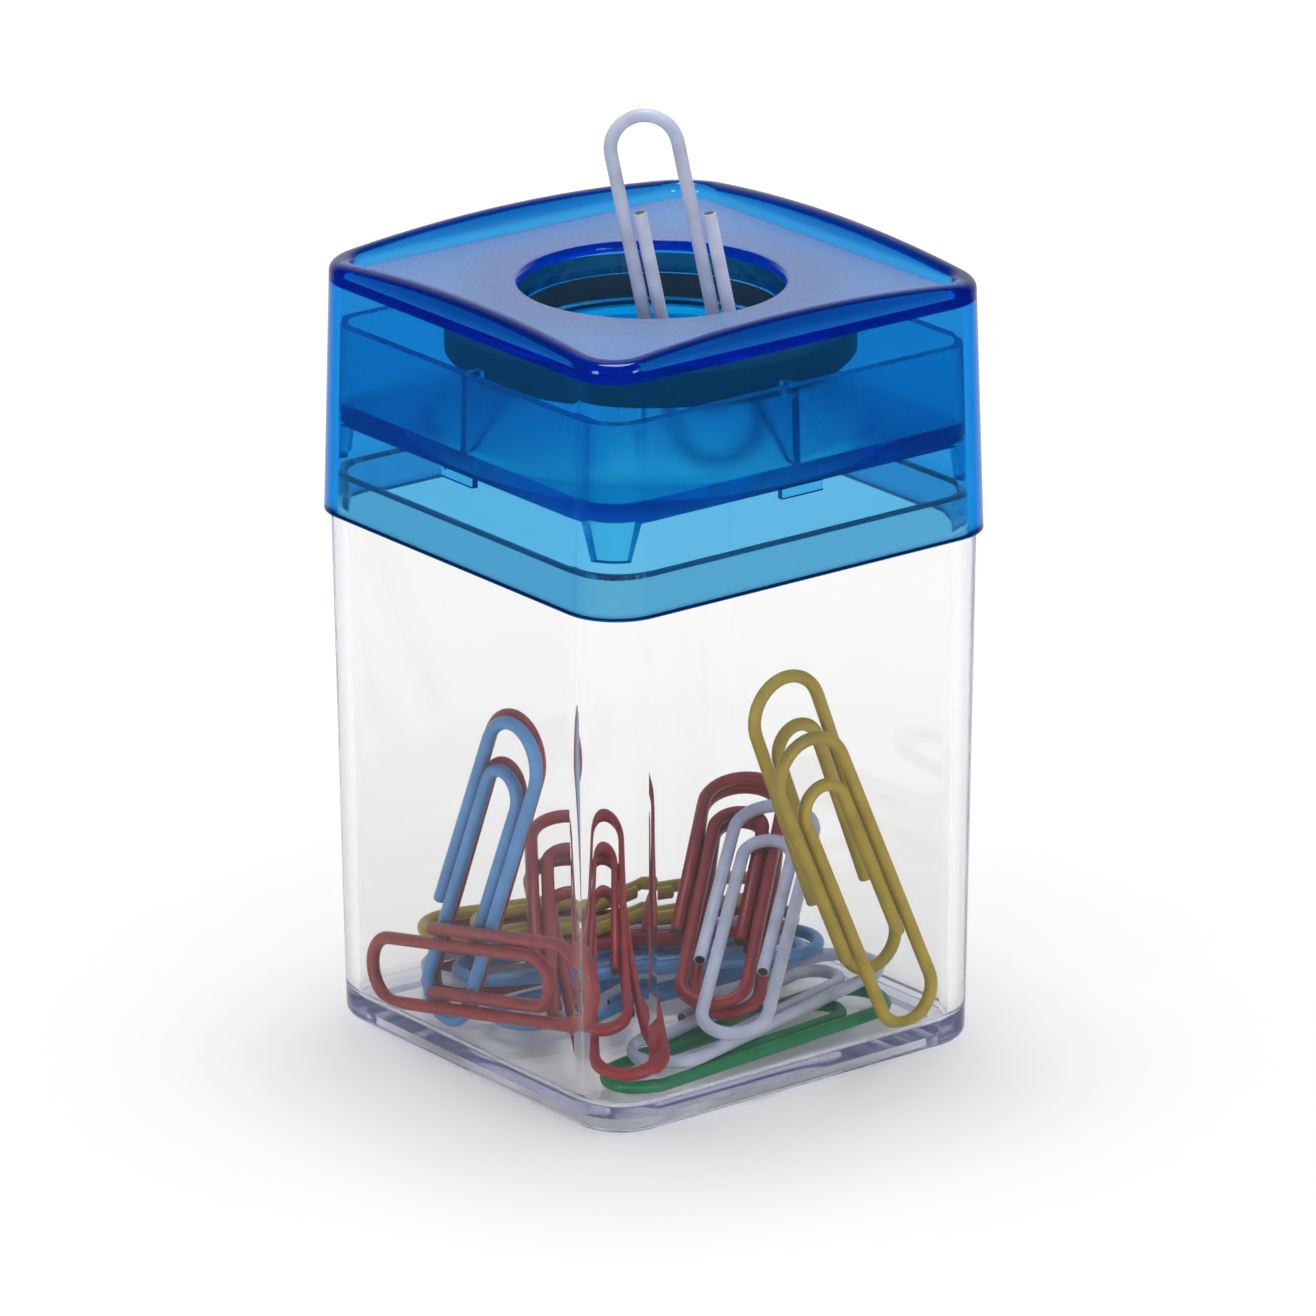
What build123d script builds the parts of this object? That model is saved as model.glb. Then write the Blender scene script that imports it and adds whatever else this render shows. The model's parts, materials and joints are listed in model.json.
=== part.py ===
from build123d import *
import os
from math import atan, cos, degrees, radians, sin, sqrt, tan

os.makedirs("parts", exist_ok=True)

# Paper clip, in millimetres. The box is sized to hold it lying down.
clip_length = 33.0
clip_width = 8.5
wire_diameter = 1.2
leg_gap = 0.2               # between neighbouring legs of one clip
inner_loop_setback = 5.0    # inner loop inside the wide end
outer_cut_setback = 10.4    # cut end of the outer leg from the narrow end
inner_cut_setback = 9.2     # and of the inner leg
chords_per_bend = 6         # straight lengths in each half turn of wire
wire_sides = 8

# Clear box
clip_room = 6.2             # inside width at the floor beyond a clip's length
box_wall = 1.65             # wall at the floor
wall_spread = 0.75          # each wall leans out by this much up to the shoulder
shoulder_height = 47.9      # where the cap sits
neck_height = 3.7           # neck above the shoulder, inside the cap
neck_edge_chamfer = 0.3
box_corner_radius = 5.0
cavity_draft = 0.3          # degrees
floor_height = 2.1          # inside floor above the table
floor_fillet = 0.9          # inside, where floor meets wall
foot_radius = 1.1           # rounded bottom edge
foot_rim_width = 3.2        # rim round the sunken underside
foot_recess_depth = 0.7

# Blue cap
cap_overhang = 0.25         # past the shoulder, each side
cap_corner_radius = 5.1
cap_wall = 1.3
cap_draft = 1.9             # degrees
ceiling_thickness = 1.2     # cap top at the hole
crest_dome_radius = 160.0   # the rim falls away to the corners over this dome
rim_width = 2.0
rim_radius = 0.9            # rounding of the rim, outside and inside
recess_depth = 2.1          # crest of the rim down to the frosted panel
panel_rise = 0.4            # panel climbs this much from the rim to the hole
hole_diameter = 23.3
hole_lip_radius = 0.8
collar_wall = 1.0
collar_depth = 3.1          # from the hole's upper edge
lug_width = 4.5
lug_height = 0.9
lug_reach = 0.6

# Ring magnet and its retainer
magnet_thickness = 3.6
magnet_edge_chamfer = 0.4
retainer_height = 8.9
tray_floor = 1.7            # plate at the retainer's foot
seat_depth = 1.6            # magnet's seat below the tray's upper edge
retainer_wall = 1.0
retainer_collar_height = 0.8
seat_width = 1.4            # flat ring under the magnet
web_thickness = 0.8
mouth_margin = 0.3          # funnel mouth inside the tray wall
leg_length = 3.4
leg_top_angle = 84.0        # share of the corner's curve, in degrees
leg_foot_angle = 54.0

# Fits
neck_clearance = 0.1        # neck to cap, each side
retainer_clearance = 0.08   # retainer skirt to cap, each side
bore_clearance = 0.2        # collars to magnet bore, on the radius
magnet_margin = 2.6         # magnet to cap wall, each side
magnet_headroom = 1.6       # magnet to the cap's ceiling
pocket_clearance = 0.3      # magnet to the webs round it, on the radius
leg_headroom = 1.2          # retainer legs above the neck

# Clip in the hole
standing_turn = -37.6       # degrees about the upright axis
standing_lean = 11.0        # degrees
standing_side = 4.3         # off the hole's axis, at the throat
standing_show = 17.6        # height above the hole's edge
standing_gap = 0.1          # wire to bore

# Loose clips
rest_gap = 0.04             # air under a clip at rest
stack_gap = 0.06            # air between clips in neighbouring layers
wall_gap = 0.36             # air between a wall and the clip beside it
row_gap = 0.75              # air between clips side by side on the floor

# Sizes and heights that follow from those above
cavity_width = clip_length + clip_room
base_width = cavity_width + 2 * box_wall
cap_width = base_width + 2 * (wall_spread + cap_overhang)
rim_top = shoulder_height + neck_height
retainer_foot = rim_top + leg_headroom + leg_length
magnet_seat = retainer_foot + retainer_height - seat_depth
ceiling = magnet_seat + magnet_thickness + magnet_headroom
hole_edge = ceiling + ceiling_thickness
panel_height = hole_edge - panel_rise
crest_height = panel_height + recess_depth
box_draft = degrees(atan(wall_spread / shoulder_height))
cap_taper = tan(radians(cap_draft))
hole_radius = hole_diameter / 2
collar_radius = hole_radius + collar_wall
bore_radius = collar_radius + bore_clearance


def cap_inside(height, clearance):
    # width inside the drafted cap at a height, less a clearance on each side
    return cap_width - 2 * (cap_wall + clearance + (height - shoulder_height) * cap_taper)


def cap_inside_corner(height, clearance):
    # corner radius that runs parallel to the cap's own corner
    return cap_corner_radius - cap_wall - clearance - (height - shoulder_height) * cap_taper


# Clear box: drafted body, neck for the cap, drafted inside and a sunken underside
cavity_corner = box_corner_radius - box_wall

with BuildPart() as clear_box:
    with BuildSketch():
        RectangleRounded(base_width, base_width, box_corner_radius)
    extrude(amount=shoulder_height, taper=-box_draft)
    neck_width = cap_inside(shoulder_height, neck_clearance)
    with BuildSketch(Plane.XY.offset(shoulder_height)):
        RectangleRounded(neck_width, neck_width, cap_inside_corner(shoulder_height, neck_clearance))
    extrude(amount=neck_height, taper=cap_draft)
    with BuildSketch(Plane.XY.offset(floor_height)):
        RectangleRounded(cavity_width, cavity_width, cavity_corner)
    extrude(amount=rim_top - floor_height, taper=-cavity_draft, mode=Mode.SUBTRACT)
    fillet(clear_box.edges().group_by(Axis.Z)[0], foot_radius)
    fillet(clear_box.faces().filter_by(Axis.Z).sort_by(Axis.Z)[1].edges(), floor_fillet)
    chamfer(clear_box.edges().group_by(Axis.Z)[-1], neck_edge_chamfer)
    recess_width = base_width - 2 * foot_rim_width
    with BuildSketch():
        RectangleRounded(recess_width, recess_width, box_corner_radius - foot_rim_width / 2)
    extrude(amount=foot_recess_depth, mode=Mode.SUBTRACT)

clear_box.part.label = "clear_box"
export_step(clear_box.part, "parts/clear_box.step")

# Blue cap: drafted shell, domed rim, sunken panel, hole with a collar, snap lugs inside
dome_centre = crest_height - sqrt(crest_dome_radius**2 - (cap_width / 2) ** 2)
dome_reach = cap_width
dome_crown = dome_centre + crest_dome_radius
cap_blank_top = dome_crown + rim_radius
panel_width = cap_width - 2 * ((panel_height - shoulder_height) * cap_taper + rim_width)

with BuildPart() as blue_cap:
    with BuildSketch(Plane.XY.offset(shoulder_height)):
        RectangleRounded(cap_width, cap_width, cap_corner_radius)
    extrude(amount=cap_blank_top - shoulder_height, taper=cap_draft)
    inside_width = cap_inside(shoulder_height, 0)
    with BuildSketch(Plane.XY.offset(shoulder_height)):
        RectangleRounded(inside_width, inside_width, cap_inside_corner(shoulder_height, 0))
    extrude(amount=ceiling - shoulder_height, taper=cap_draft, mode=Mode.SUBTRACT)
    # everything over the dome goes, which leaves each side of the rim arched
    with BuildSketch(Plane.XZ):
        with BuildLine():
            dome_edge = dome_centre + sqrt(crest_dome_radius**2 - dome_reach**2)
            rim_arc = RadiusArc((0, dome_crown), (dome_reach, dome_edge), crest_dome_radius)
            Polyline(rim_arc @ 1, (dome_reach, cap_blank_top), (0, cap_blank_top), rim_arc @ 0)
        make_face()
    revolve(axis=Axis.Z, mode=Mode.SUBTRACT)
    # sunken panel
    with BuildSketch(Plane.XY.offset(panel_height)):
        RectangleRounded(panel_width, panel_width, cap_corner_radius - rim_width)
    extrude(amount=cap_blank_top - panel_height, mode=Mode.SUBTRACT)
    rim_edges = blue_cap.edges().filter_by(lambda e: e.center().Z > panel_height + rim_radius)
    fillet(rim_edges, rim_radius)
    # panel climbing to the rounded lip of the hole, and the collar under it
    with Locations((0, 0, panel_height)):
        Hole(collar_radius)
    with BuildSketch(Plane.XZ):
        with BuildLine():
            slope = Line((panel_width / 2, panel_height), (hole_radius + hole_lip_radius, hole_edge))
            lip = RadiusArc(slope @ 1, (hole_radius, hole_edge - hole_lip_radius), -hole_lip_radius)
            Polyline(
                lip @ 1,
                (hole_radius, hole_edge - collar_depth),
                (collar_radius, hole_edge - collar_depth),
                (collar_radius, ceiling),
                slope @ 0,
            )
        make_face()
    revolve(axis=Axis.Z)
    # snap lugs that carry the retainer
    lug_wall = cap_inside(retainer_foot - lug_height, 0) / 2
    lug_length = lug_reach + cap_wall / 2
    with BuildSketch(Plane.XY.offset(retainer_foot - lug_height)):
        with PolarLocations(lug_wall - lug_reach + lug_length / 2, 4):
            Rectangle(lug_length, lug_width)
    extrude(amount=lug_height)

blue_cap.part.label = "blue_cap"
export_step(blue_cap.part, "parts/blue_cap.step")

# Ring magnet, lying loose on the retainer's seat under the cap's ceiling
magnet_diameter = cap_inside(ceiling, magnet_margin)

with BuildPart() as ring_magnet:
    with BuildSketch(Plane.XY.offset(magnet_seat)):
        Circle(magnet_diameter / 2)
        Circle(bore_radius, mode=Mode.SUBTRACT)
    extrude(amount=magnet_thickness)
    chamfer(ring_magnet.edges().filter_by(GeomType.CIRCLE), magnet_edge_chamfer)

ring_magnet.part.label = "ring_magnet"
export_step(ring_magnet.part, "parts/ring_magnet.step")

# Leg of the retainer: a length of the skirt's corner, narrowing downwards
skirt_width = cap_inside(retainer_foot, retainer_clearance)
skirt_corner = cap_inside_corner(retainer_foot, retainer_clearance)
tray_width = skirt_width - 2 * retainer_wall
mouth_radius = tray_width / 2 - mouth_margin
throat_height = magnet_seat - retainer_wall
seat_radius = collar_radius + seat_width
corner_centre = skirt_width / 2 - skirt_corner
leg_inside_radius = skirt_corner - retainer_wall

with BuildPart() as corner_leg:
    for height, angle in ((retainer_foot - leg_length, leg_foot_angle), (retainer_foot, leg_top_angle)):
        with BuildSketch(Plane.XY.offset(height)):
            with BuildLine():
                outer = CenterArc((corner_centre, corner_centre), skirt_corner, 45 - angle / 2, angle)
                inner = CenterArc((corner_centre, corner_centre), leg_inside_radius, 45 - angle / 2, angle)
                Line(outer @ 0, inner @ 0)
                Line(outer @ 1, inner @ 1)
            make_face()
    loft()

# Magnet retainer: open tray with a funnel, webs under the magnet and corner legs
with BuildPart() as magnet_retainer:
    with BuildSketch(Plane.XY.offset(retainer_foot)):
        RectangleRounded(skirt_width, skirt_width, skirt_corner)
    extrude(amount=retainer_height, taper=cap_draft)
    with BuildSketch(Plane.XY.offset(retainer_foot + tray_floor)):
        inset = tray_width - 2 * tray_floor * cap_taper
        RectangleRounded(inset, inset, skirt_corner - retainer_wall)
    extrude(amount=retainer_height - tray_floor, taper=cap_draft, mode=Mode.SUBTRACT)
    # webs from wall to wall, with a pocket for the magnet, cut open by the funnel below
    with BuildSketch(Plane.XY.offset(retainer_foot)):
        Rectangle(tray_width, web_thickness)
        Rectangle(web_thickness, tray_width)
    extrude(amount=retainer_height)
    with BuildSketch(Plane.XY.offset(magnet_seat)):
        Circle(magnet_diameter / 2 + pocket_clearance)
    extrude(amount=seat_depth, mode=Mode.SUBTRACT)
    # funnel wall with the magnet's seat and collar
    with BuildSketch(Plane.XZ):
        with BuildLine():
            Polyline(
                (hole_radius, throat_height),
                (mouth_radius, retainer_foot),
                (mouth_radius + retainer_wall, retainer_foot),
                (seat_radius, throat_height),
                (seat_radius, magnet_seat),
                (collar_radius, magnet_seat),
                (collar_radius, magnet_seat + retainer_collar_height),
                (hole_radius, magnet_seat + retainer_collar_height),
                close=True,
            )
        make_face()
    revolve(axis=Axis.Z)
    with BuildSketch(Plane.XZ):
        with BuildLine():
            Polyline(
                (0, retainer_foot),
                (mouth_radius, retainer_foot),
                (hole_radius, throat_height),
                (hole_radius, magnet_seat + retainer_collar_height),
                (0, magnet_seat + retainer_collar_height),
                close=True,
            )
        make_face()
    revolve(axis=Axis.Z, mode=Mode.SUBTRACT)
    with PolarLocations(0, 4):
        add(corner_leg.part)

magnet_retainer.part.label = "magnet_retainer"
export_step(magnet_retainer.part, "parts/magnet_retainer.step")

# Paper clip, flat on the XY plane: wide loop at +X, narrow loop at -X, both cut ends towards -X
wide_radius = (clip_width - wire_diameter) / 2
inner_radius = wide_radius - wire_diameter - leg_gap
narrow_radius = (wide_radius + inner_radius) / 2
narrow_offset = (inner_radius - wide_radius) / 2
wide_x = (clip_length - wire_diameter) / 2 - wide_radius
narrow_x = (clip_length - wire_diameter) / 2 - narrow_radius
inner_x = wide_x + wide_radius - inner_loop_setback - inner_radius
outer_cut_x = outer_cut_setback - clip_length / 2
inner_cut_x = inner_cut_setback - clip_length / 2


def bend(centre_x, centre_y, radius, first_angle):
    # half turn of wire as short chords, clockwise from a first angle
    turns = [radians(first_angle - 180 * i / chords_per_bend) for i in range(chords_per_bend + 1)]
    return [(centre_x + radius * cos(turn), centre_y + radius * sin(turn)) for turn in turns]


with BuildPart() as paper_clip:
    with BuildLine() as wire_path:
        Polyline(
            (outer_cut_x, wide_radius),
            *bend(wide_x, 0, wide_radius, 90),
            *bend(-narrow_x, narrow_offset, narrow_radius, 270),
            *bend(inner_x, 0, inner_radius, 90),
            (inner_cut_x, -inner_radius),
        )
    with BuildSketch(Plane(wire_path.line @ 0, z_dir=wire_path.line % 0)):
        RegularPolygon(wire_diameter / 2, wire_sides)
    sweep(transition=Transition.RIGHT)


def write_clip(label, plane):
    with BuildPart(plane) as clip:
        add(paper_clip.part)
    clip.part.label = label
    export_step(clip.part, f"parts/{label}.step")


# Clip held in the hole by the magnet: narrow loop up, one long leg against the bore
across = Vector(1, 0, 0).rotate(Axis.Z, standing_turn)
towards = across.cross(Vector(0, 0, 1))
standing_height = hole_edge + standing_show - clip_length / 2 * cos(radians(standing_lean))
standing_drift = (throat_height - standing_height) * tan(radians(standing_lean))
bore_reach = hole_radius - wire_diameter / 2 - standing_gap
standing_depth = sqrt(bore_reach**2 - (standing_side + wide_radius) ** 2)
standing_origin = across * (standing_side + standing_drift) + towards * standing_depth
downwards = across * sin(radians(standing_lean)) - Vector(0, 0, 1) * cos(radians(standing_lean))
write_clip("clip_standing", Plane(standing_origin + Vector(0, 0, standing_height), downwards, towards))

# Loose clips. Places are shares of half the inside width, and layers are one wire apart.
half_inside = cavity_width / 2
clip_pitch = wire_diameter + stack_gap
upright = Vector(0, 0, 1)


def rest_height(wires_under):
    # middle of a wire that lies on the floor or on wires already there
    return floor_height + rest_gap + wire_diameter / 2 + wires_under * clip_pitch


def leaning(wall, layer, along, turn, wires_under):
    # on its narrow end in a plane beside a wall, turned in that plane
    right, inward, tilt = wall
    slant = upright * cos(radians(tilt)) - inward * sin(radians(tilt))
    depth = wall_gap + wire_diameter / 2 - half_inside + layer * clip_pitch / cos(radians(tilt))
    rise = sin(radians(turn)) * narrow_x - cos(radians(turn)) * narrow_offset + narrow_radius
    origin = right * along * half_inside + inward * depth + slant * rise + upright * rest_height(wires_under)
    length = right * cos(radians(turn)) + slant * sin(radians(turn))
    return Plane(origin, length, right.cross(slant))


def lying(x, y, turn, wires_under):
    # flat on the floor or on other clips
    length = Vector(1, 0, 0).rotate(Axis.Z, turn)
    return Plane((x * half_inside, y * half_inside, rest_height(wires_under)), length, upright)


def propped(ramp, layer, reach, side, turn):
    # narrow end low, wide end up on the heap, in a plane that climbs from a foot at the front
    x, y, wires_under, bearing, climb = ramp
    left = Vector(0, 1, 0).rotate(Axis.Z, bearing)
    ahead = Vector(1, 0, 0).rotate(Axis.Z, bearing) * cos(radians(climb)) + upright * sin(radians(climb))
    normal = ahead.cross(left)
    foot = Vector(x * half_inside, y * half_inside, rest_height(wires_under))
    middle = (clip_length - wire_diameter) / 2 + reach * half_inside
    origin = foot + ahead * middle + left * side * half_inside + normal * layer * clip_pitch
    length = ahead * cos(radians(turn)) + left * sin(radians(turn))
    return Plane(origin, length, normal)


# a wall: its direction to the right seen from outside, its direction into the box, its tilt in degrees
front_wall = (Vector(1, 0, 0), Vector(0, 1, 0), 0.4)
left_wall = (Vector(0, -1, 0), Vector(1, 0, 0), -2.0)
# a ramp: the place of its foot, wires under the foot, bearing and climb in degrees
front_ramp = (-0.43, -0.90, 2, 42, 20)
corner_ramp = (-0.845, -0.845, 1.25, 60, 17)
first_row = 0.21
second_row = first_row + (clip_width + row_gap) / half_inside

pile = {
    "clip_yellow_1": leaning(front_wall, 0, 0.37, 114, 0),
    "clip_yellow_2": leaning(front_wall, 6, 0.50, 111, 2),
    "clip_red_1": leaning(left_wall, 0, -0.03, 12, 0),
    "clip_blue_1": leaning(left_wall, 1, -0.11, 68, 0),
    "clip_red_2": leaning(left_wall, 2, -0.16, 69, 0),
    "clip_red_3": propped(corner_ramp, 0, 0.0, 0.0, 0),
    "clip_red_4": propped(corner_ramp, 1, 0.25, 0.03, -6),
    "clip_white_1": propped(front_ramp, 0, 0.10, -0.05, 0),
    "clip_red_5": propped(front_ramp, -1, 0.37, 0.12, 2),
    "clip_red_6": propped(front_ramp, -2, 0.38, 0.10, 5),
    "clip_green_1": lying(-0.015, -0.64, 5, 0),
    "clip_white_2": lying(0.16, -0.50, 15, 1),
    "clip_blue_3": lying(0.12, first_row, 0, 0),
    "clip_red_7": lying(0.12, second_row, 180, 0),
    "clip_white_3": lying(0.09, 0.48, 160, 1),
    "clip_blue_2": lying(0.08, 0.22, -24, 2),
    "clip_red_8": lying(0.09, 0.43, 150, 3),
    "clip_yellow_3": lying(0.09, 0.53, 165, 4),
}
for label, plane in pile.items():
    write_clip(label, plane)
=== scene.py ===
import json
from math import cos, pi, radians, sin

import bmesh
import bpy
import numpy as np
from mathutils import Matrix, Vector

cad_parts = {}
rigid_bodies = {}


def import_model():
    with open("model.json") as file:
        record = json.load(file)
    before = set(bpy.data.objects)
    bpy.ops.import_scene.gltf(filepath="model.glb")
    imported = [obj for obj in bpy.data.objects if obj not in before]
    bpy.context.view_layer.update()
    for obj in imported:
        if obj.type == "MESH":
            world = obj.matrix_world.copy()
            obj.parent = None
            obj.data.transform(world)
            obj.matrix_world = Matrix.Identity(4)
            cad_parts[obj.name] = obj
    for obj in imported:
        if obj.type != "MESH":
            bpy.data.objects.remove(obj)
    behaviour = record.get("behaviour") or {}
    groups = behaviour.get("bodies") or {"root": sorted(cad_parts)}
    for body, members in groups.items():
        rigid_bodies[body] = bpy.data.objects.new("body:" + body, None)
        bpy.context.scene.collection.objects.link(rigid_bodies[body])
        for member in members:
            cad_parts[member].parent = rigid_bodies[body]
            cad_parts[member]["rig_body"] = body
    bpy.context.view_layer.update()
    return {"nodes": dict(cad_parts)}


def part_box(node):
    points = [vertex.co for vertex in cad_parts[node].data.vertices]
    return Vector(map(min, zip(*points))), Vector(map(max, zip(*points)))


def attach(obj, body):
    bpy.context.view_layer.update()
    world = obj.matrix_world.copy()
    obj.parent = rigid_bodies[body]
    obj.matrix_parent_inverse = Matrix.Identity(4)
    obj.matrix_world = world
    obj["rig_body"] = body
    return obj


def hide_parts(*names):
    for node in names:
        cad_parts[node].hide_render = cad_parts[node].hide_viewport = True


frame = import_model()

mm = 0.001
floatMix, colourMix = {"data_type": "FLOAT"}, {"data_type": "RGBA"}
scene = bpy.context.scene
print("frame loaded:", len(frame["nodes"]), "solids")


# small helpers
def linear(hexColour):
    parts = [int(hexColour[i:i + 2], 16) / 255 for i in (1, 3, 5)]
    return tuple(c / 12.92 if c <= 0.04045 else ((c + 0.055) / 1.055) ** 2.4 for c in parts) + (1.0,)


def addNode(tree, kind, settings={}, values={}, links={}, stops=()):
    node = tree.nodes.new("ShaderNode" + kind)
    for name, value in settings.items():
        setattr(node, name, value)
    for name, value in values.items():
        node.inputs[name].default_value = value
    for name, socket in links.items():
        tree.links.new(socket, node.inputs[name])
    for element, (place, colour) in zip(node.color_ramp.elements if stops else (), stops):
        element.position, element.color = place, colour
    return node


def newMaterial(name):
    material = bpy.data.materials.new(name)
    material.use_nodes = True
    material.node_tree.nodes.clear()
    return material, material.node_tree


def dress(objectToDress, material):
    objectToDress.data.materials.clear()
    objectToDress.data.materials.append(material)


def fromAxis(tree, place):
    # distance from the upright axis through the hole
    outward = addNode(tree, "VectorMath", {"operation": "MULTIPLY"}, {1: (1, 1, 0)}, {0: place})
    return addNode(tree, "VectorMath", {"operation": "LENGTH"}, {}, {0: outward.outputs[0]}).outputs["Value"]


# camera, at the photo's angle
view = {
    "azimuth": -37.572,         # degrees, from the -Y side round towards -X
    "elevation": 19.085,
    "roll": -0.235,
    "distance": 0.890,          # metres
    "lens": 274.07,             # mm
    "sensor": 36.0,             # mm
    "clip": (0.01, 20.0),       # metres
    "aimHeight": 34.59 * mm,
    "aimRight": 0.417 * mm,
}


def placeCamera():
    a, e = radians(view["azimuth"]), radians(view["elevation"])
    back = Vector((sin(a) * cos(e), -cos(a) * cos(e), sin(e)))
    right = Matrix.Rotation(radians(view["roll"]), 3, back) @ Vector((cos(a), sin(a), 0))
    up = back.cross(right)
    camera = bpy.data.objects.new("camera", bpy.data.cameras.new("camera"))
    camera.data.lens, camera.data.sensor_width = view["lens"], view["sensor"]
    camera.data.clip_start, camera.data.clip_end = view["clip"]
    scene.collection.objects.link(camera)
    place = Vector((0, 0, view["aimHeight"])) + right * view["aimRight"] + back * view["distance"]
    camera.matrix_world = Matrix.Translation(place) @ Matrix((right, up, back)).transposed().to_4x4()
    scene.camera = camera


placeCamera()
print("camera placed")


# what the clear and the blue mouldings have in common
def finishPlastic(tree, plastic, moulding, cloudiness=None):
    # a little haze in the plastic, lamps that shine through it, and colour that deepens along the way
    cloud = addNode(tree, "BsdfTranslucent", values={"Color": linear(moulding["haze"])})
    clouded = addNode(tree, "MixShader", values={0: moulding["hazeShare"]},
                      links={1: plastic.outputs[0], 2: cloud.outputs[0]})
    if cloudiness:
        tree.links.new(cloudiness, clouded.inputs[0])
    lampRay = addNode(tree, "LightPath").outputs["Is Shadow Ray"]
    lampWay = addNode(tree, "BsdfTransparent", values={"Color": linear(moulding["shade"])})
    surface = addNode(tree, "MixShader", links={0: lampRay, 1: clouded.outputs[0], 2: lampWay.outputs[0]})
    depth = addNode(tree, "VolumeAbsorption",
                    values={"Color": linear(moulding["depthColour"]), "Density": moulding["depthDensity"]})
    addNode(tree, "OutputMaterial", links={"Surface": surface.outputs[0], "Volume": depth.outputs[0]})


# clear box
clearBox = {
    "colour": "#fcfcfa",
    "ior": 1.59,
    "gleam": "#a0a0a8",         # strength of reflections seen face on
    "depthColour": "#a9aeea",   # what long ways through the wall turn to
    "depthDensity": 14.0,       # per metre
    "shade": "#f7f7f7",         # what a lamp leaves on the far side
    "haze": "#e8eafa",          # faint clouding of the plastic
    "hazeShare": 0.008,
    "footHazeShare": 0.1,       # more in the thick foot
    "footStep": (2.5 * mm, 4.0 * mm),
    "neckHazeShare": 0.1,       # and on the neck, which the cap rubs
    "neckStep": (48.0 * mm, 48.4 * mm),
    "flowSize": 14.0 * mm,      # broad waves left by the melt
    "flowHeight": 0.3 * mm,
    "flowBump": 0.02,
    "scuffSize": 0.5 * mm,
    "scuffRange": (0.55, 0.8),  # part of the noise that shows as scuffs
    "scuffRoughness": 0.04,
}


def crystalPolystyrene():
    # injection-moulded crystal polystyrene: almost colourless, with bluish depth along its edges
    material, tree = newMaterial("crystalPolystyreneMoulded")
    place = addNode(tree, "TexCoord").outputs["Object"]
    z = addNode(tree, "SeparateXYZ", links={0: place}).outputs["Z"]
    flow = addNode(tree, "TexNoise", values={"Scale": 1 / clearBox["flowSize"], "Detail": 1.0},
                   links={"Vector": place})
    scuff = addNode(tree, "TexNoise", values={"Scale": 1 / clearBox["scuffSize"], "Detail": 4.0},
                    links={"Vector": place})
    low, high = clearBox["scuffRange"]
    shine = addNode(tree, "MapRange",
                    values={"From Min": low, "From Max": high, "To Max": clearBox["scuffRoughness"]},
                    links={"Value": scuff.outputs["Fac"]})
    bump = addNode(tree, "Bump", values={"Strength": clearBox["flowBump"], "Distance": clearBox["flowHeight"]},
                   links={"Height": flow.outputs["Fac"]})
    plastic = addNode(tree, "BsdfPrincipled",
                      values={"Base Color": linear(clearBox["colour"]), "IOR": clearBox["ior"],
                              "Transmission Weight": 1.0, "Specular Tint": linear(clearBox["gleam"])},
                      links={"Roughness": shine.outputs[0], "Normal": bump.outputs[0]})
    low, high = clearBox["footStep"]
    foot = addNode(tree, "MapRange",
                   values={"From Min": low, "From Max": high, "To Min": clearBox["footHazeShare"],
                           "To Max": clearBox["hazeShare"]},
                   links={"Value": z})
    low, high = clearBox["neckStep"]
    neck = addNode(tree, "MapRange",
                   values={"From Min": low, "From Max": high, "To Max": clearBox["neckHazeShare"]},
                   links={"Value": z})
    cloudiness = addNode(tree, "Math", {"operation": "ADD"}, {}, {0: foot.outputs[0], 1: neck.outputs[0]})
    finishPlastic(tree, plastic, clearBox, cloudiness.outputs[0])
    return material


dress(frame["nodes"]["clear_box"], crystalPolystyrene())
print("box dressed")

# blue cap with its frosted top, and the blue retainer that holds the magnet in it
blueCap = {
    "colour": "#f2f2f2",
    "ior": 1.59,
    "gleam": "#ffffff",
    "depthColour": "#00e0fd",   # takes out red first, then green, hardly any blue
    "depthDensity": 1300.0,     # per metre
    "shade": "#a4b0bb",         # what a lamp leaves on the far side
    "roughness": (0.02, 0.05),
    "haze": "#16b8ea",          # faint clouding, which lights the edges
    "hazeShare": 0.05,
    "edgeHazeShare": 0.45,      # at the cut lower edge
    "edgeStep": (47.9 * mm, 48.5 * mm),
    "topHazeShare": 0.12,       # added from the panel's level up, where the corners are thick
    "topStep": (68.7 * mm, 69.3 * mm),
    "rimShadeColour": "#5a9fc4",     # painted shade: the thick rounded rim drawn darker, for the light it swallows
    "rimStep": (69.9 * mm, 70.7 * mm),
    "panelStep": (69.3 * mm, 70.2 * mm),
    "panelFacing": 0.8,         # least upward part of the panel's normals
    "frostMagnetShade": "#9bb7e0",    # frosted panel over the magnet, greyer: painted shade of the dark magnet beneath
    "frostOuter": "#98c4f4",    # and outside it, with no magnet beneath
    "frostStep": (14.5 * mm, 18.0 * mm),
    "frostClear": 0.5,          # share of light that still goes through the frost
    "frostRoughness": 0.55,
    "frostBump": 0.4,
    "grain": 0.35 * mm,         # texture of the frost, drawn coarser than the real 0.1 mm
    "sparkleHighlight": "#d5e4ff",       # painted highlights: lighter dots where the raised grains of the frost would catch the light
    "sparkleRange": (0.45, 0.75),
    "sparkleShare": 0.4,
}
retainer = {
    "colour": "#ffffff",
    "ior": 1.33,                # below the real 1.59, so that light gets through its many walls
    "gleam": "#707078",
    "depthColour": "#00f1fe",
    "depthDensity": 1000.0,
    "shade": "#a4b0bb",
    "roughness": (0.24, 0.3),   # from a satin mould
    "haze": "#2ab0ff",
    "hazeShare": 0.03,
}
blueFlow = {
    "size": 12.0 * mm,          # broad waves left by the melt
    "range": (0.4, 0.7),
    "height": 0.2 * mm,
    "bump": 0.06,
}


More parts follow.
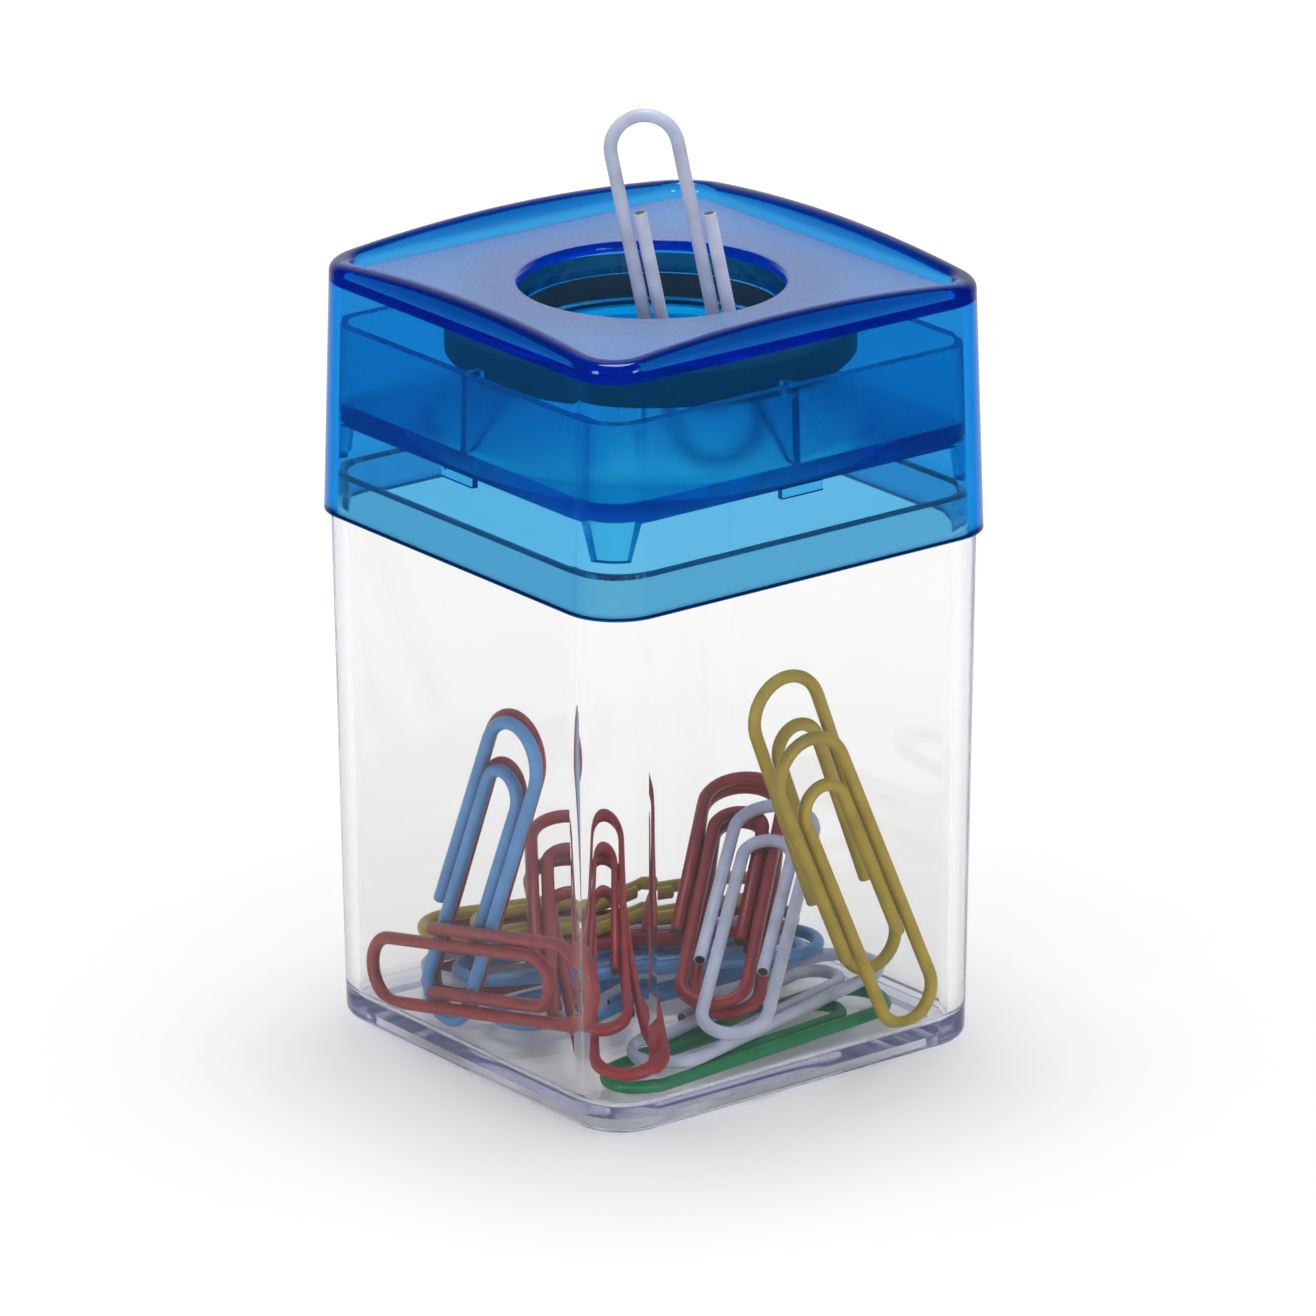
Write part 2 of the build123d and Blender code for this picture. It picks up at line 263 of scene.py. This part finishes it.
def frostTop(tree, coordinates, flow, smooth, bump, plastic):
    # spark-eroded frost on the sunken panel, with painted shade over the magnet and painted sparkle, painted
    # shade on the rim round it, clouding along the edges
    place = coordinates.outputs["Object"]
    z = addNode(tree, "SeparateXYZ", links={0: place}).outputs["Z"]
    upward = addNode(tree, "SeparateXYZ", links={0: coordinates.outputs["Normal"]}).outputs["Z"]
    low, high = blueCap["panelStep"]
    below = addNode(tree, "Math", {"operation": "LESS_THAN"}, {1: high}, {0: z})
    above = addNode(tree, "Math", {"operation": "GREATER_THAN"}, {1: low}, {0: z})
    facing = addNode(tree, "Math", {"operation": "GREATER_THAN"}, {1: blueCap["panelFacing"]}, {0: upward})
    level = addNode(tree, "Math", {"operation": "MULTIPLY"}, {}, {0: below.outputs[0], 1: above.outputs[0]})
    panel = addNode(tree, "Math", {"operation": "MULTIPLY"}, {},
                    {0: level.outputs[0], 1: facing.outputs[0]}).outputs[0]
    # relief, gloss and clearness
    grain = addNode(tree, "TexNoise", values={"Scale": 1 / blueCap["grain"], "Detail": 3.0},
                    links={"Vector": place}).outputs["Fac"]
    height = addNode(tree, "Mix", floatMix, {}, {0: panel, 2: flow, 3: grain})
    relief = addNode(tree, "MapRange", values={"To Min": blueFlow["bump"], "To Max": blueCap["frostBump"]},
                     links={"Value": panel})
    rough = addNode(tree, "MapRange", values={"To Max": blueCap["frostRoughness"]},
                    links={"Value": panel, "To Min": smooth})
    clear = addNode(tree, "MapRange", values={"To Min": 1.0, "To Max": blueCap["frostClear"]},
                    links={"Value": panel})
    # colours of the frost, with painted shade over the magnet and painted sparkle, and of the rim, with painted
    # shade
    # the frost greys towards the hole: painted shade of the magnet beneath
    low, high = blueCap["frostStep"]
    ring = addNode(tree, "MapRange", values={"From Min": low, "From Max": high},
                   links={"Value": fromAxis(tree, place)})
    plain = addNode(tree, "Mix", colourMix,
                    {6: linear(blueCap["frostMagnetShade"]), 7: linear(blueCap["frostOuter"])}, {0: ring.outputs[0]})
    # painted sparkle: grains drawn lighter, as if they caught the light
    low, high = blueCap["sparkleRange"]
    paintedSparkle = addNode(tree, "MapRange",
                    values={"From Min": low, "From Max": high, "To Max": blueCap["sparkleShare"]},
                    links={"Value": grain})
    frost = addNode(tree, "Mix", colourMix, {7: linear(blueCap["sparkleHighlight"])},
                    {0: paintedSparkle.outputs[0], 6: plain.outputs[2]})
    # painted shade: the rim's colour darkened towards its top
    low, high = blueCap["rimStep"]
    rim = addNode(tree, "MapRange", {"interpolation_type": "SMOOTHSTEP"},
                  {"From Min": low, "From Max": high}, {"Value": z})
    wall = addNode(tree, "Mix", colourMix,
                   {6: linear(blueCap["colour"]), 7: linear(blueCap["rimShadeColour"])}, {0: rim.outputs[0]})
    colour = addNode(tree, "Mix", colourMix, {}, {0: panel, 6: wall.outputs[2], 7: frost.outputs[2]})
    for socket, target in (
        (height.outputs[0], bump.inputs["Height"]),
        (relief.outputs[0], bump.inputs["Strength"]),
        (rough.outputs[0], plastic.inputs["Roughness"]),
        (clear.outputs[0], plastic.inputs["Transmission Weight"]),
        (colour.outputs[2], plastic.inputs["Base Color"]),
    ):
        tree.links.new(socket, target)
    # share of haze, plain on the panel
    low, high = blueCap["edgeStep"]
    edge = addNode(tree, "MapRange",
                   values={"From Min": low, "From Max": high, "To Min": blueCap["edgeHazeShare"],
                           "To Max": blueCap["hazeShare"]},
                   links={"Value": z})
    low, high = blueCap["topStep"]
    top = addNode(tree, "MapRange",
                  values={"From Min": low, "From Max": high, "To Max": blueCap["topHazeShare"]},
                  links={"Value": z})
    both = addNode(tree, "Math", {"operation": "ADD"}, {}, {0: edge.outputs[0], 1: top.outputs[0]})
    return addNode(tree, "Mix", floatMix, {3: blueCap["hazeShare"]}, {0: panel, 2: both.outputs[0]}).outputs[0]


def bluePolystyrene(name, moulding, frosted=False):
    # tinted polystyrene, injection-moulded: clear blue, deeper where the light goes a longer way
    material, tree = newMaterial(name)
    coordinates = addNode(tree, "TexCoord")
    flow = addNode(tree, "TexNoise", values={"Scale": 1 / blueFlow["size"], "Detail": 1.0},
                   links={"Vector": coordinates.outputs["Object"]}).outputs["Fac"]
    (low, high), (smoothest, roughest) = blueFlow["range"], moulding["roughness"]
    smooth = addNode(tree, "MapRange",
                     values={"From Min": low, "From Max": high, "To Min": smoothest, "To Max": roughest},
                     links={"Value": flow}).outputs[0]
    bump = addNode(tree, "Bump", values={"Strength": blueFlow["bump"], "Distance": blueFlow["height"]},
                   links={"Height": flow})
    plastic = addNode(tree, "BsdfPrincipled",
                      values={"Base Color": linear(moulding["colour"]), "IOR": moulding["ior"],
                              "Transmission Weight": 1.0, "Specular Tint": linear(moulding["gleam"])},
                      links={"Roughness": smooth, "Normal": bump.outputs[0]})
    cloudiness = frostTop(tree, coordinates, flow, smooth, bump, plastic) if frosted else None
    finishPlastic(tree, plastic, moulding, cloudiness)
    return material


dress(frame["nodes"]["blue_cap"], bluePolystyrene("bluePolystyreneFrostedTop", blueCap, frosted=True))
dress(frame["nodes"]["magnet_retainer"], bluePolystyrene("bluePolystyreneMoulded", retainer))
print("cap and retainer dressed")

# ring magnet
magnet = {
    "colour": "#5d554d",
    "paleGrain": "#786f66",
    "toneRange": (0.35, 0.75),
    "bore": "#3c5666",          # painted light: blue from the plastic round it
    "boreRadius": 13.4 * mm,
    "grain": 0.25 * mm,
    "grainHeight": 0.05 * mm,
    "grainBump": 0.3,
    "roughness": 0.6,
}


def sinteredFerrite():
    # pressed and sintered ferrite: charcoal, dull, with a fine gritty grain, and painted blue light in its bore
    material, tree = newMaterial("ferriteSintered")
    place = addNode(tree, "TexCoord").outputs["Object"]
    grit = addNode(tree, "TexNoise", values={"Scale": 1 / magnet["grain"], "Detail": 6.0, "Roughness": 0.7},
                   links={"Vector": place}).outputs["Fac"]
    low, high = magnet["toneRange"]
    tone = addNode(tree, "ValToRGB", links={"Fac": grit},
                   stops=[(low, linear(magnet["colour"])), (high, linear(magnet["paleGrain"]))])
    bump = addNode(tree, "Bump", values={"Strength": magnet["grainBump"], "Distance": magnet["grainHeight"]},
                   links={"Height": grit})
    # painted light: the bore drawn blue, as the plastic round it would light it
    bore = addNode(tree, "Math", {"operation": "LESS_THAN"}, {1: magnet["boreRadius"]},
                   {0: fromAxis(tree, place)})
    colour = addNode(tree, "Mix", colourMix, {7: linear(magnet["bore"])},
                     {0: bore.outputs[0], 6: tone.outputs[0]})
    body = addNode(tree, "BsdfPrincipled", values={"Roughness": magnet["roughness"]},
                   links={"Base Color": colour.outputs[2], "Normal": bump.outputs[0]})
    addNode(tree, "OutputMaterial", links={"Surface": body.outputs[0]})
    return material


dress(frame["nodes"]["ring_magnet"], sinteredFerrite())
print("magnet dressed")

# paper clips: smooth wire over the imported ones
clip = {
    "length": 33.0 * mm,
    "width": 8.5 * mm,
    "wire": 1.2 * mm,
    "legGap": 0.2 * mm,
    "innerSetback": 5.0 * mm,
    "outerCut": 10.4 * mm,      # cut end of the outer leg from the narrow end
    "innerCut": 9.2 * mm,
    "core": 0.9 * mm,           # steel inside the coating
    "edge": 0.06 * mm,          # rounding of the cut coating, and twice what the core stands out
    "bendSteps": 16,
    "sides": 14,
    "flatNode": "clip_blue_3",  # this one lies along the frame's own axes
}
vinyl = {
    "red": "#a82d30",
    "blue": "#61a6e8",
    "yellow": "#c7ad32",
    "white": "#d5dcf5",
    "green": "#0a9258",
    "ior": 1.53,
    "blotchSize": 2.5 * mm,
    "blotchRange": (0.3, 0.7),
    "blotchDark": 0.78,
    "lumpSize": 0.3 * mm,
    "lumpHeight": 0.04 * mm,
    "lumpBump": 0.12,
    "roughness": (0.28, 0.5),
}
steel = {
    "colour": "#55585e",
    "burrSize": 0.15 * mm,
    "burrHeight": 0.03 * mm,
    "burrBump": 0.3,
    "roughness": (0.25, 0.55),
}


def vinylCoating(colourName):
    # dip-coated soft vinyl: even colour, soft broad gloss, slightly lumpy
    material, tree = newMaterial(colourName + "VinylDipped")
    place = addNode(tree, "TexCoord").outputs["Object"]
    blotch = addNode(tree, "TexNoise", values={"Scale": 1 / vinyl["blotchSize"], "Detail": 3.0},
                     links={"Vector": place}).outputs["Fac"]
    lump = addNode(tree, "TexNoise", values={"Scale": 1 / vinyl["lumpSize"], "Detail": 3.0},
                   links={"Vector": place}).outputs["Fac"]
    base = linear(vinyl[colourName])
    dark = tuple(c * vinyl["blotchDark"] for c in base[:3]) + (1,)
    (low, high), (smoothest, roughest) = vinyl["blotchRange"], vinyl["roughness"]
    tone = addNode(tree, "ValToRGB", links={"Fac": blotch}, stops=[(low, dark), (high, base)])
    shine = addNode(tree, "MapRange", values={"To Min": smoothest, "To Max": roughest}, links={"Value": lump})
    bump = addNode(tree, "Bump", values={"Strength": vinyl["lumpBump"], "Distance": vinyl["lumpHeight"]},
                   links={"Height": lump})
    coat = addNode(tree, "BsdfPrincipled", values={"IOR": vinyl["ior"]},
                   links={"Base Color": tone.outputs[0], "Roughness": shine.outputs[0],
                          "Normal": bump.outputs[0]})
    addNode(tree, "OutputMaterial", links={"Surface": coat.outputs[0]})
    return material


def shearedSteel():
    # sheared end of the steel core: dark dull grey with a rough face
    material, tree = newMaterial("steelWireSheared")
    place = addNode(tree, "TexCoord").outputs["Object"]
    burr = addNode(tree, "TexNoise", values={"Scale": 1 / steel["burrSize"], "Detail": 4.0},
                   links={"Vector": place}).outputs["Fac"]
    smoothest, roughest = steel["roughness"]
    shine = addNode(tree, "MapRange", values={"To Min": smoothest, "To Max": roughest}, links={"Value": burr})
    bump = addNode(tree, "Bump", values={"Strength": steel["burrBump"], "Distance": steel["burrHeight"]},
                   links={"Height": burr})
    metal = addNode(tree, "BsdfPrincipled", values={"Base Color": linear(steel["colour"]), "Metallic": 1.0},
                    links={"Roughness": shine.outputs[0], "Normal": bump.outputs[0]})
    addNode(tree, "OutputMaterial", links={"Surface": metal.outputs[0]})
    return material


def wireLine():
    # middle of the wire in the clip's own plane: wide loop at +X, narrow loop at -X
    wide = (clip["width"] - clip["wire"]) / 2
    inner = wide - clip["wire"] - clip["legGap"]
    narrow = (wide + inner) / 2
    end = (clip["length"] - clip["wire"]) / 2
    bends = [  # x, y, radius and first angle
        (end - wide, 0, wide, 90),
        (narrow - end, (inner - wide) / 2, narrow, 270),
        (end - clip["innerSetback"] - inner, 0, inner, 90),
    ]
    points = [(clip["outerCut"] - clip["length"] / 2, wide)]
    for x, y, radius, first in bends:
        for i in range(clip["bendSteps"] + 1):
            turn = radians(first - 180 * i / clip["bendSteps"])
            points.append((x + radius * cos(turn), y + radius * sin(turn)))
    points.append((clip["innerCut"] - clip["length"] / 2, -inner))
    return [Vector((x, y, 0)) for x, y in points]


def bendClip(name, coating, metal):
    line = wireLine()
    radius, core, edge = clip["wire"] / 2, clip["core"] / 2, clip["edge"]
    ahead = [(b - a).normalized() for a, b in zip(line, line[1:])]
    ways = [ahead[0]] + [(a + b).normalized() for a, b in zip(ahead, ahead[1:])] + [ahead[-1]]
    first, last = ways[0], ways[-1]
    # place, direction and radius of each ring: steel, cut coating, wire, cut coating, steel
    stations = [(line[0] - first * edge / 2, first, core), (line[0], first, core)]
    stations += [(line[0], first, radius - edge), (line[0] + first * edge, first, radius)]
    stations += [(place, way, radius) for place, way in zip(line[1:-1], ways[1:-1])]
    stations += [(line[-1] - last * edge, last, radius), (line[-1], last, radius - edge)]
    stations += [(line[-1], last, core), (line[-1] + last * edge / 2, last, core)]
    turns = [2 * pi * i / clip["sides"] for i in range(clip["sides"])]
    mesh = bmesh.new()
    rings = []
    for place, way, size in stations:
        side, up = Vector((-way.y, way.x, 0)), Vector((0, 0, 1))
        rings.append([mesh.verts.new(place + side * size * cos(t) + up * size * sin(t)) for t in turns])
    for i, (a, b) in enumerate(zip(rings, rings[1:])):
        for j in range(clip["sides"]):
            k = (j + 1) % clip["sides"]
            face = mesh.faces.new((a[j], a[k], b[k], b[j]))
            face.smooth = True
            face.material_index = 1 if i in (0, len(rings) - 2) else 0
    for ring in (rings[0], rings[-1]):
        mesh.faces.new(ring).material_index = 1
    bmesh.ops.recalc_face_normals(mesh, faces=mesh.faces)
    data = bpy.data.meshes.new(name)
    data.materials.append(coating)
    data.materials.append(metal)
    mesh.to_mesh(data)
    mesh.free()
    wire = bpy.data.objects.new(name, data)
    scene.collection.objects.link(wire)
    return wire


def corners(node):
    return np.array([v.co for v in frame["nodes"][node].data.vertices])


def placeOf(node):
    # turn and shift that carry the clip lying along the axes onto this one
    flat, here = corners(clip["flatNode"]), corners(node)
    u, _, v = np.linalg.svd((flat - flat.mean(0)).T @ (here - here.mean(0)))
    keep = np.diag([1, 1, np.sign(np.linalg.det(u @ v))])
    turn = (u @ keep @ v).T
    shift = here.mean(0) - turn @ flat.mean(0)
    miss = np.abs(flat @ turn.T + shift - here).max()
    low, high = (Vector(c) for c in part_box(clip["flatNode"]))
    own = Matrix.Translation((low + high) / 2)
    print(node, "placed, off by", round(miss / mm, 4), "mm")
    return Matrix.Translation(shift) @ Matrix(turn.tolist()).to_4x4() @ own


coatings = {c: vinylCoating(c) for c in ("red", "blue", "yellow", "white", "green")}
cutEnd = shearedSteel()
for node in sorted(n for n in frame["nodes"] if n.startswith("clip_")):
    colour = "white" if node == "clip_standing" else node.split("_")[1]
    wire = bendClip("wire_" + node[5:], coatings[colour], cutEnd)
    wire.data.transform(placeOf(node))
    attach(wire, frame["nodes"][node]["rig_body"])
    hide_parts(node)
print("clips bent")

# floor, light and surroundings
studio = {
    "floorRadius": 3.0,         # metres
    "floorSegments": 64,
    "floorColour": "#f4f4f4",
    "floorDrop": 0.1 * mm,      # air under the foot rim
    "shadedNearLift": 0.12,           # lifts what the camera sees of the floor, less near the box: painted shade round its base
    "farLift": 0.23,            # to white at a distance
    "liftStep": (0.04, 0.13),   # metres
    "endLift": 0.3,             # more where the lamp no longer reaches
    "endStep": (0.3, 1.2),      # metres
    "roomLevel": 0.6,           # world light on the object
    "mirrorLevel": 0.03,        # dark flags at both sides, as reflections show them
    "throughLevel": 0.22,       # and as they show through the clear walls
    "flagEdge": (-0.45, -0.9),  # from the flags to the white wall opposite the camera, as cosines
    "bounces": 32,              # enough for all the clear walls
}
lamps = {  # place in metres, size in metres, watts
    "overheadSoftbox": ((0.05, 0.07, 0.9), 0.45, 4.0),
    "glintLeft": ((-0.59, -0.109, 0.12), 0.16, 0.4),    # two small low ones at the front,
    "glintRight": ((0.046, -0.598, 0.12), 0.16, 0.4),   # for glints on the cap's corner
}


def makeFloor():
    mesh = bmesh.new()
    bmesh.ops.create_circle(mesh, cap_ends=True, segments=studio["floorSegments"], radius=studio["floorRadius"])
    data = bpy.data.meshes.new("floor")
    mesh.to_mesh(data)
    mesh.free()
    floor = bpy.data.objects.new("floor", data)
    floor.location.z = -studio["floorDrop"]
    scene.collection.objects.link(floor)
    # matt white paper: keeps the soft shadow near the box, deepened there with painted shade, and turns white
    # at a distance
    material, tree = newMaterial("paperSweepMatt")
    path = addNode(tree, "LightPath").outputs
    matt = addNode(tree, "BsdfDiffuse", values={"Color": linear(studio["floorColour"])})
    through = addNode(tree, "Math", {"operation": "MAXIMUM"}, {},
                      {0: path["Is Glossy Ray"], 1: path["Is Transmission Ray"]})
    shown = addNode(tree, "Math", {"operation": "MAXIMUM"}, {},
                    {0: path["Is Camera Ray"], 1: through.outputs[0]})
    place = addNode(tree, "NewGeometry").outputs["Position"]
    away = addNode(tree, "VectorMath", {"operation": "LENGTH"}, {}, {0: place}).outputs["Value"]
    # smaller lift close to the box: painted shade round it
    near, far = studio["liftStep"]
    level = addNode(tree, "MapRange",
                    values={"From Min": near, "From Max": far, "To Min": studio["shadedNearLift"],
                            "To Max": studio["farLift"]},
                    links={"Value": away})
    near, far = studio["endStep"]
    end = addNode(tree, "MapRange", values={"From Min": near, "From Max": far, "To Max": studio["endLift"]},
                  links={"Value": away})
    whole = addNode(tree, "Math", {"operation": "ADD"}, {}, {0: level.outputs[0], 1: end.outputs[0]})
    seen = addNode(tree, "Math", {"operation": "MULTIPLY"}, {}, {0: shown.outputs[0], 1: whole.outputs[0]})
    lift = addNode(tree, "Emission", links={"Strength": seen.outputs[0]})
    both = addNode(tree, "AddShader", links={0: matt.outputs[0], 1: lift.outputs[0]})
    addNode(tree, "OutputMaterial", links={"Surface": both.outputs[0]})
    dress(floor, material)
    floor.visible_glossy = False  # reflections show the room instead


def makeWorld():
    world = bpy.data.worlds.new("whiteRoom")
    scene.world = world
    world.use_nodes = True
    tree = world.node_tree
    tree.nodes.clear()
    path = addNode(tree, "LightPath").outputs
    way = addNode(tree, "TexCoord").outputs["Generated"]
    a = radians(view["azimuth"])
    towards = addNode(tree, "VectorMath", {"operation": "DOT_PRODUCT"}, {1: (sin(a), -cos(a), 0)},
                      {0: way}).outputs["Value"]
    flag, wall = studio["flagEdge"]
    mirrored, through = (
        addNode(tree, "MapRange", values={"From Min": flag, "From Max": wall, "To Min": studio[dark]},
                links={"Value": towards}).outputs[0] for dark in ("mirrorLevel", "throughLevel"))
    glossy = addNode(tree, "Mix", floatMix, {2: studio["roomLevel"]}, {0: path["Is Glossy Ray"], 3: mirrored})
    lit = addNode(tree, "Mix", floatMix, {},
                  {0: path["Is Transmission Ray"], 2: glossy.outputs[0], 3: through})
    level = addNode(tree, "Mix", floatMix, {3: 1.0}, {0: path["Is Camera Ray"], 2: lit.outputs[0]})
    sky = addNode(tree, "Background", links={"Strength": level.outputs[0]})
    addNode(tree, "OutputWorld", links={"Surface": sky.outputs[0]})


def makeLamp(name, place, size, power):
    lamp = bpy.data.objects.new(name, bpy.data.lights.new(name, "AREA"))
    lamp.data.shape = "DISK"
    lamp.data.size = size
    lamp.data.energy = power
    lamp.location = place
    lamp.rotation_euler = (-Vector(place)).to_track_quat("-Z", "Y").to_euler()
    scene.collection.objects.link(lamp)


makeFloor()
makeWorld()
for name, (place, size, power) in lamps.items():
    makeLamp(name, place, size, power)
scene.view_settings.view_transform = "Standard"
for limit in ("max_bounces", "glossy_bounces", "transmission_bounces", "transparent_max_bounces"):
    setattr(scene.cycles, limit, studio["bounces"])
print("studio lit")
